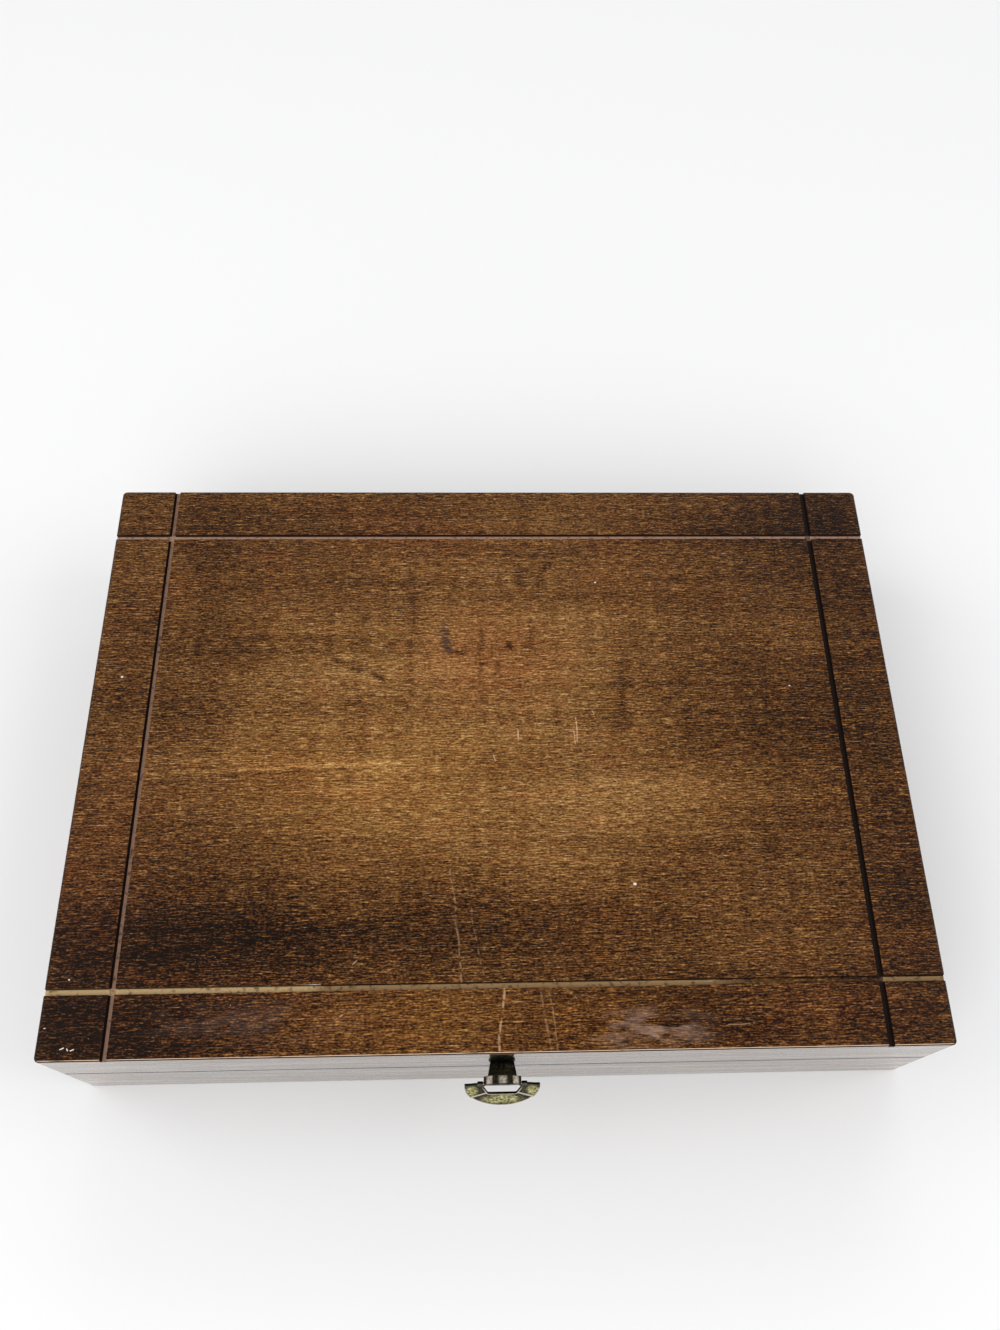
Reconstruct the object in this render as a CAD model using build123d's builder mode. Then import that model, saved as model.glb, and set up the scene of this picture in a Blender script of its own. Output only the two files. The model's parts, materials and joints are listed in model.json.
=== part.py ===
"""Silverware chest: a low veneered wooden case with a hinged lid and a brass drop pull.

Frame: +X to the right, the front faces -Y, +Z up. The origin is the centre of the case's bottom face.
"""
from build123d import *
import math
import os

os.makedirs("parts", exist_ok=True)

# ---------------------------------------------------------------- case
case_width = 394.0
case_depth = 290.0
base_height = 43.7
lid_height = 36.0
seam_gap = 0.3
rail_thickness = 11.0
corner_radius = 2.2
arris = 0.6
bottom_thickness = 5.0
bottom_rebate = 5.0
top_thickness = 9.0

# saw-kerf border of the lid's top
kerf_inset = 28.8
kerf_width = 2.8
kerf_depth = 1.9

# ---------------------------------------------------------------- lining
pad_thickness = 2.0
lining_thickness = 2.0
lining_setback = 1.5

# ---------------------------------------------------------------- flatware racks in the base
rack_thickness = 20.0
rack_height = 26.0
rack_spacing = 116.0
slot_count = 18
slot_pitch = 14.0
slot_width = 3.6
slot_depth = 14.0
slot_mouth = 1.0
serving_well_width = 88.0
divider_thickness = 6.0

# ---------------------------------------------------------------- knife holders in the lid
knife_count = 8
knife_pitch = 28.0
notch_width = 18.0
notch_depth = 11.0
notch_corner = 2.0
knife_end_margin = 5.0
handle_bar_thickness = 20.0
handle_bar_height = 16.0
handle_bar_y = -60.0
sleeve_depth = 38.0
sleeve_height = 12.0
sleeve_wall_gap = 5.0
blade_slot_height = 4.8
blade_slot_depth = 31.0
blade_slot_roof = 3.0

# ---------------------------------------------------------------- stop hinges
hinge_inset = 72.0
leaf_length = 38.0
leaf_reach = 9.0
leaf_thickness = 1.2
barrel_radius = 2.6
barrel_clearance = 0.4
knuckle_count = 3
knuckle_gap = 0.2
pin_radius = 1.2
running_clearance = 0.05
lid_opening_angle = 100.0
stop_thickness = 1.6
stop_reach = 5.4
leaf_screw_count = 2
leaf_screw_pitch = 24.0
leaf_screw_radius = 1.1
leaf_screw_head_radius = 2.1
leaf_screw_length = 9.0
leaf_screw_slot = 0.5

# ---------------------------------------------------------------- drop pull
pull_drop = 18.0
backplate_radius = 5.8
backplate_thickness = 0.6
neck_root_across_flats = 10.2
neck_head_across_flats = 12.8
boss_across_flats = 16.3
boss_start = 7.3
boss_end = 11.2
boss_rake = 5.0
boss_chamfer = 0.4
pivot_reach = 9.8
pull_pin_radius = 0.5
bail_lean = 23.0
bail_thickness = 1.2
bail_eye_radius = 1.0
bail_eye_width = 2.4
bail_side_clearance = 0.3
# right half of the bail's outline, in its own plane with the pivot at the origin
bail_tip = (16.5, -0.6)
bail_wing_side = (16.15, -5.4)
bail_wing_corner = (14.2, -10.6)
bail_band_corner = (12.9, -11.2)
bail_bottom_drop = 17.3
bail_top_middle = (11.6, -0.1)
opening_side_drop = 2.3
opening_bottom_drop = 7.8
opening_bottom_half_width = 6.2
opening_corner_radius = 1.0
ridge_inner = (6.6, -6.7)
ridge_outer = (14.2, -10.6)
ridge_width = 0.05
panel_rim = 0.55
panel_recess = 0.25
ledge_drop = 2.6
ledge_height = 1.4
ledge_thickness = 1.2
ledge_inner = 7.5
ledge_outer = 10.2
pull_screw_radius = 1.95
pull_screw_engagement = 4.6
pull_screw_spare = 0.5
pull_screw_hole_clearance = 0.25
pull_screw_head_radius = 3.6
pull_screw_head_height = 2.2
counterbore_clearance = 0.4

# ---------------------------------------------------------------- worked-out places
half_width = case_width / 2
half_depth = case_depth / 2
inner_width = case_width - 2 * rail_thickness
inner_depth = case_depth - 2 * rail_thickness
lid_bottom_z = base_height + seam_gap
case_height = lid_bottom_z + lid_height
top_panel_z = case_height - top_thickness
floor_z = bottom_thickness + pad_thickness
ceiling_z = top_panel_z - pad_thickness
lined_half_width = inner_width / 2 - lining_thickness
lined_half_depth = inner_depth / 2 - lining_thickness
hinge_y = half_depth + barrel_clearance + barrel_radius
hinge_z = base_height + seam_gap / 2
hinge_places = (hinge_inset - half_width, half_width - hinge_inset)
pull_z = case_height - pull_drop


def finish(piece, name):
    """Label a finished piece and write it."""
    piece.part.label = name
    export_step(piece.part, f"parts/{name}.step")


# ================================================================ wooden case
rail_wedges = {
    "front": [(-1, -1), (1, -1)],
    "back": [(1, 1), (-1, 1)],
    "left": [(-1, 1), (-1, -1)],
    "right": [(1, -1), (1, 1)],
}


def wedge_points(corners):
    """The mitred plan of one rail: two outer corners, then the two inner ones."""
    outer = [(sx * half_width, sy * half_depth) for sx, sy in corners]
    inner = [(sx * inner_width / 2, sy * inner_depth / 2) for sx, sy in reversed(corners)]
    return outer + inner


def eased_ring(bottom_z, height, edge_groups):
    """A case ring with rounded corners and eased outer arrises, before it is cut into rails."""
    with BuildSketch(Plane.XY.offset(bottom_z)) as outside:
        RectangleRounded(case_width, case_depth, corner_radius)
    ring = extrude(outside.sketch, amount=height)
    chamfer([edge for group in edge_groups for edge in ring.edges().group_by(Axis.Z)[group]], arris)
    with BuildSketch(Plane.XY.offset(bottom_z)) as inside:
        Rectangle(inner_width, inner_depth)
    extrude(inside.sketch, amount=height, mode=Mode.SUBTRACT)


def cut_to_rail(bottom_z, height, corners):
    """Keep only the mitred stretch of the ring that is one rail."""
    with BuildSketch(Plane.XY.offset(bottom_z)) as wedge:
        Polygon(*wedge_points(corners), align=None)
    extrude(wedge.sketch, amount=height, mode=Mode.INTERSECT)


def leaf_screw_points():
    """Centres of the hinge screws in plan, for both hinges."""
    leaf_middle_y = half_depth - leaf_reach / 2
    return [
        (place + (index - (leaf_screw_count - 1) / 2) * leaf_screw_pitch, leaf_middle_y)
        for place in hinge_places
        for index in range(leaf_screw_count)
    ]


def cut_hinge_mortises(edge_z, inward):
    """Mortises for the leaves in a rail's edge, with pilot holes; inward is 1 up or -1 down."""
    with BuildSketch(Plane.XY.offset(edge_z)) as mortises:
        with Locations(*[(place, half_depth - leaf_reach / 2) for place in hinge_places]):
            Rectangle(leaf_length, leaf_reach)
    extrude(mortises.sketch, amount=inward * leaf_thickness, mode=Mode.SUBTRACT)
    with BuildSketch(Plane.XY.offset(edge_z)) as pilot_holes:
        with Locations(*leaf_screw_points()):
            Circle(leaf_screw_radius + running_clearance)
    extrude(pilot_holes.sketch, amount=inward * (leaf_screw_length + leaf_screw_radius), mode=Mode.SUBTRACT)


for side, corners in rail_wedges.items():
    with BuildPart() as base_rail:
        eased_ring(0, base_height, (0, -1))
        with BuildSketch():
            Rectangle(inner_width + 2 * bottom_rebate, inner_depth + 2 * bottom_rebate)
        extrude(amount=bottom_thickness, mode=Mode.SUBTRACT)
        cut_to_rail(0, base_height, corners)
        if side == "back":
            cut_hinge_mortises(base_height, -1)
    finish(base_rail, f"base_{side}_rail")

with BuildPart() as base_bottom_panel:
    with BuildSketch():
        Rectangle(inner_width + 2 * bottom_rebate, inner_depth + 2 * bottom_rebate)
    extrude(amount=bottom_thickness)
finish(base_bottom_panel, "base_bottom_panel")

pull_plane = Plane(origin=(0, -half_depth, pull_z), x_dir=(1, 0, 0), z_dir=(0, -1, 0))
pull_screw_hole_radius = pull_screw_radius + pull_screw_hole_clearance
counterbore_depth = pull_screw_head_height + counterbore_clearance
counterbore_radius = pull_screw_head_radius + counterbore_clearance

for side, corners in rail_wedges.items():
    with BuildPart() as lid_rail:
        eased_ring(lid_bottom_z, top_panel_z - lid_bottom_z, (0,))
        cut_to_rail(lid_bottom_z, top_panel_z - lid_bottom_z, corners)
        if side == "back":
            cut_hinge_mortises(lid_bottom_z, 1)
        if side == "front":
            with BuildSketch(pull_plane):
                Circle(pull_screw_hole_radius)
            extrude(amount=-rail_thickness, mode=Mode.SUBTRACT)
            with BuildSketch(pull_plane.offset(-rail_thickness)):
                Circle(counterbore_radius)
            extrude(amount=counterbore_depth, mode=Mode.SUBTRACT)
    finish(lid_rail, f"lid_{side}_rail")

with BuildPart() as lid_top_panel:
    with BuildSketch(Plane.XY.offset(top_panel_z)):
        RectangleRounded(case_width, case_depth, corner_radius)
    extrude(amount=top_thickness)
    chamfer(lid_top_panel.edges().group_by(Axis.Z)[-1], arris)
    with BuildSketch(Plane.XY.offset(case_height)):
        with Locations((0, half_depth - kerf_inset), (0, kerf_inset - half_depth)):
            Rectangle(case_width, kerf_width)
        with Locations((half_width - kerf_inset, 0), (kerf_inset - half_width, 0)):
            Rectangle(kerf_width, case_depth)
    extrude(amount=-kerf_depth, mode=Mode.SUBTRACT)
finish(lid_top_panel, "lid_top_panel")

# ================================================================ lining boards and pads
pads = {"base_floor_pad": bottom_thickness, "lid_ceiling_pad": ceiling_z}
for name, pad_z in pads.items():
    with BuildPart() as pad:
        with BuildSketch(Plane.XY.offset(pad_z)):
            Rectangle(inner_width, inner_depth)
        extrude(amount=pad_thickness)
    finish(pad, name)

linings = {
    "front": (0, -1, inner_width, lining_thickness),
    "back": (0, 1, inner_width, lining_thickness),
    "left": (-1, 0, lining_thickness, 2 * lined_half_depth),
    "right": (1, 0, lining_thickness, 2 * lined_half_depth),
}
lining_heights = {
    "base": (floor_z, base_height - lining_setback),
    "lid": (lid_bottom_z + lining_setback, ceiling_z),
}
for half, (low_z, high_z) in lining_heights.items():
    for side, (sx, sy, length_x, length_y) in linings.items():
        with BuildPart() as lining:
            with BuildSketch(Plane.XY.offset(low_z)):
                with Locations((sx * (inner_width - lining_thickness) / 2,
                                sy * (inner_depth - lining_thickness) / 2)):
                    Rectangle(length_x, length_y)
            extrude(amount=high_z - low_z)
        finish(lining, f"{half}_lining_{side}")

# ================================================================ flatware racks and serving well
divider_x = lined_half_width - serving_well_width - divider_thickness
rack_length = divider_x + lined_half_width
rack_middle_x = divider_x - rack_length / 2
rack_top_z = floor_z + rack_height

for name, side in {"flatware_rack_front": -1, "flatware_rack_rear": 1}.items():
    with BuildPart() as rack:
        with BuildSketch(Plane.XZ.offset(-side * rack_spacing / 2 - rack_thickness / 2)):
            with Locations((rack_middle_x, floor_z + rack_height / 2)):
                Rectangle(rack_length, rack_height)
            with Locations((rack_middle_x, rack_top_z)):
                with GridLocations(slot_pitch, 0, slot_count, 1):
                    Rectangle(slot_width, 2 * slot_depth, mode=Mode.SUBTRACT)
            with Locations((rack_middle_x, rack_top_z - slot_mouth / 2)):
                with GridLocations(slot_pitch, 0, slot_count, 1):
                    Trapezoid(slot_width + 2 * slot_mouth, slot_mouth, 45, rotation=180, mode=Mode.SUBTRACT)
        extrude(amount=rack_thickness)
    finish(rack, name)

with BuildPart() as serving_divider:
    with BuildSketch(Plane.XY.offset(floor_z)):
        with Locations((divider_x + divider_thickness / 2, 0)):
            Rectangle(divider_thickness, 2 * lined_half_depth)
    extrude(amount=rack_height)
    fillet(serving_divider.edges().filter_by(Axis.Y).group_by(Axis.Z)[-1], divider_thickness / 3)
finish(serving_divider, "serving_divider")

# ================================================================ knife holders
knife_bar_length = (knife_count - 1) * knife_pitch + notch_width + 2 * (knife_pitch - notch_width)
handle_bar_bottom_z = ceiling_z - handle_bar_height
notch_points = [
    (-notch_width / 2, 0),
    (-notch_width / 2, notch_depth - notch_corner),
    (notch_corner - notch_width / 2, notch_depth),
    (notch_width / 2 - notch_corner, notch_depth),
    (notch_width / 2, notch_depth - notch_corner),
    (notch_width / 2, 0),
]

with BuildPart() as knife_handle_bar:
    with BuildSketch(Plane.XZ.offset(-handle_bar_y - handle_bar_thickness / 2)):
        with Locations((0, ceiling_z - handle_bar_height / 2)):
            Rectangle(knife_bar_length, handle_bar_height)
        with Locations((0, handle_bar_bottom_z)):
            with GridLocations(knife_pitch, 0, knife_count, 1):
                Polygon(*notch_points, align=None, mode=Mode.SUBTRACT)
    extrude(amount=handle_bar_thickness)
finish(knife_handle_bar, "knife_handle_bar")

sleeve_back_y = lined_half_depth - sleeve_wall_gap
sleeve_front_y = sleeve_back_y - sleeve_depth
blade_slot_top_z = ceiling_z - blade_slot_roof

with BuildPart() as knife_blade_sleeve:
    with BuildSketch(Plane.YZ.offset(-knife_bar_length / 2)):
        with Locations((sleeve_back_y - sleeve_depth / 2, ceiling_z - sleeve_height / 2)):
            Rectangle(sleeve_depth, sleeve_height)
    extrude(amount=knife_bar_length)
    with BuildSketch(Plane.YZ.offset(knife_end_margin - knife_bar_length / 2)):
        with Locations((sleeve_front_y, blade_slot_top_z - blade_slot_height / 2)):
            Rectangle(2 * blade_slot_depth, blade_slot_height)
    extrude(amount=knife_bar_length - 2 * knife_end_margin, mode=Mode.SUBTRACT)
finish(knife_blade_sleeve, "knife_blade_sleeve")

# ================================================================ stop hinges
knuckle_pitch = leaf_length / knuckle_count
knuckle_length = knuckle_pitch - knuckle_gap
base_knuckles = [index for index in range(knuckle_count) if index % 2 == 0]
lid_knuckles = [index for index in range(knuckle_count) if index % 2 == 1]
leaf_front_y = half_depth - leaf_reach
stop_middle_reach = (stop_reach + barrel_radius) / 2
countersink_angle = math.degrees(math.atan((leaf_screw_head_radius - leaf_screw_radius) / leaf_thickness))


def knuckle_plane(place, index):
    """Section plane at the left end of one knuckle."""
    return Plane.YZ.offset(place - leaf_length / 2 + index * knuckle_pitch + knuckle_gap / 2)


def leaf_plate(place, low_z):
    """The flat leaf in its mortise."""
    with BuildSketch(Plane.YZ.offset(place - leaf_length / 2)) as plate:
        with Locations((leaf_front_y + leaf_reach / 2, low_z + leaf_thickness / 2)):
            Rectangle(leaf_reach, leaf_thickness)
    extrude(plate.sketch, amount=leaf_length)


def knuckle(place, index, low_z):
    """One knuckle with the web that joins it to its leaf."""
    with BuildSketch(knuckle_plane(place, index)) as section:
        with Locations(((leaf_front_y + hinge_y) / 2, low_z + leaf_thickness / 2)):
            Rectangle(hinge_y - leaf_front_y, leaf_thickness)
        with Locations((hinge_y, hinge_z)):
            Circle(barrel_radius)
    extrude(section.sketch, amount=knuckle_length)


def pin_bore(place):
    """The running bore for the hinge pin."""
    with BuildSketch(Plane.YZ.offset(place - leaf_length / 2)) as bore:
        with Locations((hinge_y, hinge_z)):
            Circle(pin_radius + running_clearance)
    extrude(bore.sketch, amount=leaf_length, mode=Mode.SUBTRACT)


def leaf_screw_holes(place, face_z, inward):
    """Countersunk holes through one leaf, opening at the seam."""
    with BuildSketch(Plane.XY.offset(face_z)) as countersinks:
        with Locations(*[point for point in leaf_screw_points() if abs(point[0] - place) < leaf_length / 2]):
            Circle(leaf_screw_head_radius + running_clearance)
    extrude(countersinks.sketch, amount=inward * leaf_thickness, taper=countersink_angle, mode=Mode.SUBTRACT)


for place, hinge_side in zip(hinge_places, ("left", "right")):
    with BuildPart() as base_leaf:
        leaf_plate(place, base_height - leaf_thickness)
        for index in base_knuckles:
            knuckle(place, index, base_height - leaf_thickness)
        # the stop bar stands behind the barrel, where the toe of the lid's leaf comes to rest on it
        toe_tilt = math.radians(90 - lid_opening_angle)
        stop_plane = Plane(
            origin=(place - leaf_length / 2 + knuckle_gap / 2, hinge_y, hinge_z),
            x_dir=(0, math.cos(toe_tilt), math.sin(toe_tilt)),
            z_dir=(1, 0, 0),
        )
        with BuildSketch(stop_plane):
            with Locations((stop_middle_reach + knuckle_gap, -stop_thickness - running_clearance)):
                Rectangle(stop_reach - barrel_radius, stop_thickness)
        extrude(amount=leaf_length - knuckle_gap)
        for index in base_knuckles:
            with BuildSketch(stop_plane.offset(index * knuckle_pitch)):
                with Locations((stop_reach / 2, -stop_thickness - running_clearance)):
                    Rectangle(stop_reach, stop_thickness)
            extrude(amount=knuckle_length)
        pin_bore(place)
        leaf_screw_holes(place, base_height, -1)
    finish(base_leaf, f"hinge_base_leaf_{hinge_side}")

    with BuildPart() as lid_leaf:
        leaf_plate(place, lid_bottom_z)
        for index in lid_knuckles:
            knuckle(place, index, lid_bottom_z)
            with BuildSketch(knuckle_plane(place, index)):
                with Locations((hinge_y, hinge_z + stop_reach / 2)):
                    Rectangle(stop_thickness, stop_reach)
            extrude(amount=knuckle_length)
        pin_bore(place)
        leaf_screw_holes(place, lid_bottom_z, 1)
    finish(lid_leaf, f"hinge_lid_leaf_{hinge_side}")

    with BuildPart() as hinge_pin:
        with BuildSketch(Plane.YZ.offset(place - leaf_length / 2)):
            with Locations((hinge_y, hinge_z)):
                Circle(pin_radius)
        extrude(amount=leaf_length)
    finish(hinge_pin, f"hinge_pin_{hinge_side}")


def leaf_screws(face_z, inward):
    """Countersunk wood screws of one half of the case, heads at the seam."""
    for x, y in leaf_screw_points():
        screw_plane = Plane(origin=(x, y, face_z), x_dir=(1, 0, 0), z_dir=(0, 0, inward))
        with BuildSketch(screw_plane) as head:
            Circle(leaf_screw_head_radius)
        extrude(head.sketch, amount=leaf_thickness, taper=countersink_angle)
        with BuildSketch(screw_plane) as shank:
            Circle(leaf_screw_radius)
        extrude(shank.sketch, amount=leaf_screw_length)
        with BuildSketch(screw_plane) as slot:
            Rectangle(2 * leaf_screw_head_radius, leaf_screw_slot)
        extrude(slot.sketch, amount=leaf_screw_slot, mode=Mode.SUBTRACT)


with BuildPart() as hinge_base_screws:
    leaf_screws(base_height, -1)
finish(hinge_base_screws, "hinge_base_screws")

with BuildPart() as hinge_lid_screws:
    leaf_screws(lid_bottom_z, 1)
finish(hinge_lid_screws, "hinge_lid_screws")

# ================================================================ drop pull
boss_half = boss_across_flats / 2
pivot_y = -half_depth - pivot_reach
lean = math.radians(bail_lean)
rake = math.radians(boss_rake)
bail_plane = Plane(origin=(0, pivot_y, pull_z), x_dir=(1, 0, 0), z_dir=(0, -math.cos(lean), math.sin(lean)))

with BuildPart() as pull_backplate:
    with BuildSketch(pull_plane):
        Circle(backplate_radius)
        Circle(pull_screw_hole_radius, mode=Mode.SUBTRACT)
    extrude(amount=backplate_thickness)
finish(pull_backplate, "pull_backplate")

with BuildPart() as pull_post:
    # neck that flares from the backplate to the boss, both eight-sided
    neck_length = boss_start - backplate_thickness
    neck_flare = math.degrees(math.atan((neck_head_across_flats - neck_root_across_flats) / 2 / neck_length))
    with BuildSketch(pull_plane.offset(boss_start)):
        RegularPolygon(neck_head_across_flats / 2, 8, major_radius=False, rotation=22.5)
    extrude(amount=-neck_length, taper=neck_flare)
    with BuildSketch(pull_plane.offset(boss_start)):
        RegularPolygon(boss_half, 8, major_radius=False, rotation=22.5)
    extrude(amount=boss_end - boss_start)
    # its front face rakes back towards the bottom
    front_top = Vector(0, -half_depth - boss_end, pull_z + boss_half)
    with BuildSketch(Plane(origin=front_top, x_dir=(1, 0, 0), z_dir=(0, -math.cos(rake), -math.sin(rake)))):
        Rectangle(2 * boss_across_flats, 4 * boss_across_flats)
    extrude(amount=boss_end, mode=Mode.SUBTRACT)
    chamfer(pull_post.faces().sort_by(Axis.Y)[0].edges(), boss_chamfer)
    # ledges that the bail rests on when it hangs
    with BuildSketch(bail_plane.offset(-bail_thickness / 2)):
        for side in (-1, 1):
            with Locations((side * (ledge_inner + ledge_outer) / 2, -ledge_drop)):
                Rectangle(ledge_outer - ledge_inner, ledge_height)
    extrude(amount=-ledge_thickness)
    # screw hole from behind and pin hole across
    with BuildSketch(pull_plane.offset(backplate_thickness)):
        Circle(pull_screw_radius + running_clearance)
    extrude(amount=pull_screw_engagement + pull_screw_spare, mode=Mode.SUBTRACT)
    with BuildSketch(Plane.YZ):
        with Locations((pivot_y, pull_z)):
            Circle(pull_pin_radius + running_clearance)
    extrude(amount=boss_across_flats, both=True, mode=Mode.SUBTRACT)
finish(pull_post, "pull_post")

eye_inner = boss_half + bail_side_clearance
eye_outer = eye_inner + bail_eye_width
ridge_run = Vector(*ridge_outer) - Vector(*ridge_inner)
ridge_line = [
    (point.X, point.Y)
    for point in (Vector(*ridge_inner) - ridge_run / 2, Vector(*ridge_outer) + ridge_run / 2)
]


def bail_outline():
    """The half-moon plate in its own plane, with the opening round the boss."""
    with BuildLine() as outline:
        eye_top = (eye_inner, bail_eye_radius)
        ThreePointArc(eye_top, bail_top_middle, bail_tip)
        ThreePointArc(bail_tip, bail_wing_side, bail_wing_corner)
        Line(bail_wing_corner, bail_band_corner)
        TangentArc((0, -bail_bottom_drop), bail_band_corner, tangent=(1, 0))
        rim = Polyline(
            (0, -opening_bottom_drop),
            (opening_bottom_half_width, -opening_bottom_drop),
            (eye_inner, -opening_side_drop),
            eye_top,
        )
        fillet(rim.vertices().sort_by(Axis.Y)[1], opening_corner_radius)
        mirror(about=Plane.YZ)
    make_face(outline.edges())


with BuildPart() as pull_bail:
    with BuildSketch(bail_plane.offset(-bail_thickness / 2)) as bail_face:
        bail_outline()
    extrude(amount=bail_thickness)
    # three sunk panels, parted by ridges
    with BuildSketch(bail_plane.offset(bail_thickness / 2)):
        bail_outline()
        for side in (-1, 1):
            with BuildLine():
                Line(*[(side * x, y) for x, y in ridge_line])
            trace(line_width=ridge_width, mode=Mode.SUBTRACT)
        offset(amount=-panel_rim, kind=Kind.INTERSECTION, mode=Mode.REPLACE)
    extrude(amount=-panel_recess, mode=Mode.SUBTRACT)
    # eyes on the pivot pin
    for side in (-1, 1):
        with BuildSketch(Plane.YZ.offset(side * (eye_inner + eye_outer) / 2)):
            with Locations((pivot_y, pull_z)):
                Circle(bail_eye_radius)
        extrude(amount=bail_eye_width / 2, both=True)
    with BuildSketch(Plane.YZ):
        with Locations((pivot_y, pull_z)):
            Circle(pull_pin_radius + running_clearance)
    extrude(amount=2 * eye_outer, both=True, mode=Mode.SUBTRACT)
finish(pull_bail, "pull_bail")

with BuildPart() as pull_pin:
    with BuildSketch(Plane.YZ):
        with Locations((pivot_y, pull_z)):
            Circle(pull_pin_radius)
    extrude(amount=eye_outer, both=True)
finish(pull_pin, "pull_pin")

pull_screw_length = rail_thickness - counterbore_depth + backplate_thickness + pull_screw_engagement
head_plane = pull_plane.offset(counterbore_depth - rail_thickness)
with BuildPart() as pull_screw:
    with BuildSketch(head_plane):
        Circle(pull_screw_head_radius)
    extrude(amount=-pull_screw_head_height)
    with BuildSketch(head_plane.offset(-pull_screw_head_height)):
        Rectangle(2 * pull_screw_head_radius, pull_screw_head_height / 3)
    extrude(amount=pull_screw_head_height / 2, mode=Mode.SUBTRACT)
    with BuildSketch(head_plane):
        Circle(pull_screw_radius)
    extrude(amount=pull_screw_length)
finish(pull_screw, "pull_screw")
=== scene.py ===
import json
import math

import bmesh
import bpy
from mathutils import Matrix, Vector, noise


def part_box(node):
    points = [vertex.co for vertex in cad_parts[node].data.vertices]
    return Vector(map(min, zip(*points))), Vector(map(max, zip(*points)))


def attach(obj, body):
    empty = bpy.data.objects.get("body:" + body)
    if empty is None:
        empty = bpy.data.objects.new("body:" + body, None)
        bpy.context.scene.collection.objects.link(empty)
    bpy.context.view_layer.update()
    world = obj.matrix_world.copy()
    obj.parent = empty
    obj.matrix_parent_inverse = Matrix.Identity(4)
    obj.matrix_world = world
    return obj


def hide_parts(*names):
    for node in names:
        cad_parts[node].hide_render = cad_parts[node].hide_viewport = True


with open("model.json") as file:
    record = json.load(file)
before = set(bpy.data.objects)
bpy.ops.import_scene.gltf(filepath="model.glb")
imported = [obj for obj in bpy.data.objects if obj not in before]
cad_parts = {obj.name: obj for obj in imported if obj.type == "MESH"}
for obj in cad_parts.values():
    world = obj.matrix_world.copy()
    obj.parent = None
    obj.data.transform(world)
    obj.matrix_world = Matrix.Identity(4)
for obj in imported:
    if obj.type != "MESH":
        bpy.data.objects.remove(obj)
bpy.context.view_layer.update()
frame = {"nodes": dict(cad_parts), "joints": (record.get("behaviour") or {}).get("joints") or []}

MM = 0.001

case_low, case_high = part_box("lid_top_panel")
HALF_WIDTH = case_high[0]
HALF_DEPTH = case_high[1]
CASE_TOP = case_high[2]
SEAM_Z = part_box("base_front_rail")[1][2]
FRONT_Y = case_low[1]
pull_low, pull_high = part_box("pull_post")
PULL_Z = (pull_low[2] + pull_high[2]) / 2
BOSS_HALF = (pull_high[2] - pull_low[2]) / 2

# ---------------------------------------------------------------- camera
PHOTO_WIDTH = 1000
PHOTO_HEIGHT = 1330
FOCAL_PIXELS = 1141.6
CENTRE_COLUMN = 515.3
CAMERA_OFFSET = Vector((-13.5, -70.8, 508.3)) * MM
CAMERA_YAW = math.radians(-5.146)
CAMERA_PITCH = math.radians(63.169)
CAMERA_ROLL = math.radians(4.277)
SENSOR = 36.0


def add_camera():
    """The photograph's viewpoint: above the front edge, looking steeply down."""
    data = bpy.data.cameras.new("camera")
    data.sensor_width = SENSOR
    data.lens = SENSOR * FOCAL_PIXELS / PHOTO_HEIGHT
    data.shift_x = (PHOTO_WIDTH / 2 - CENTRE_COLUMN) / PHOTO_HEIGHT
    data.clip_start = 0.01
    camera = bpy.data.objects.new("camera", data)
    turn = (
        Matrix.Rotation(CAMERA_YAW, 4, "Z")
        @ Matrix.Rotation(math.radians(90) - CAMERA_PITCH, 4, "X")
        @ Matrix.Rotation(CAMERA_ROLL, 4, "Z")
    )
    place = Vector((0, FRONT_Y, CASE_TOP)) + CAMERA_OFFSET
    camera.matrix_world = Matrix.Translation(place) @ turn
    bpy.context.scene.collection.objects.link(camera)
    bpy.context.scene.camera = camera


add_camera()

# ---------------------------------------------------------------- shader helper


def linear(red, green, blue):
    """A colour given as 0 to 255 screen values, as the linear values that shaders take."""
    def channel(value):
        value /= 255
        return value / 12.92 if value <= 0.04045 else ((value + 0.055) / 1.055) ** 2.4
    return (channel(red), channel(green), channel(blue), 1.0)


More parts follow.
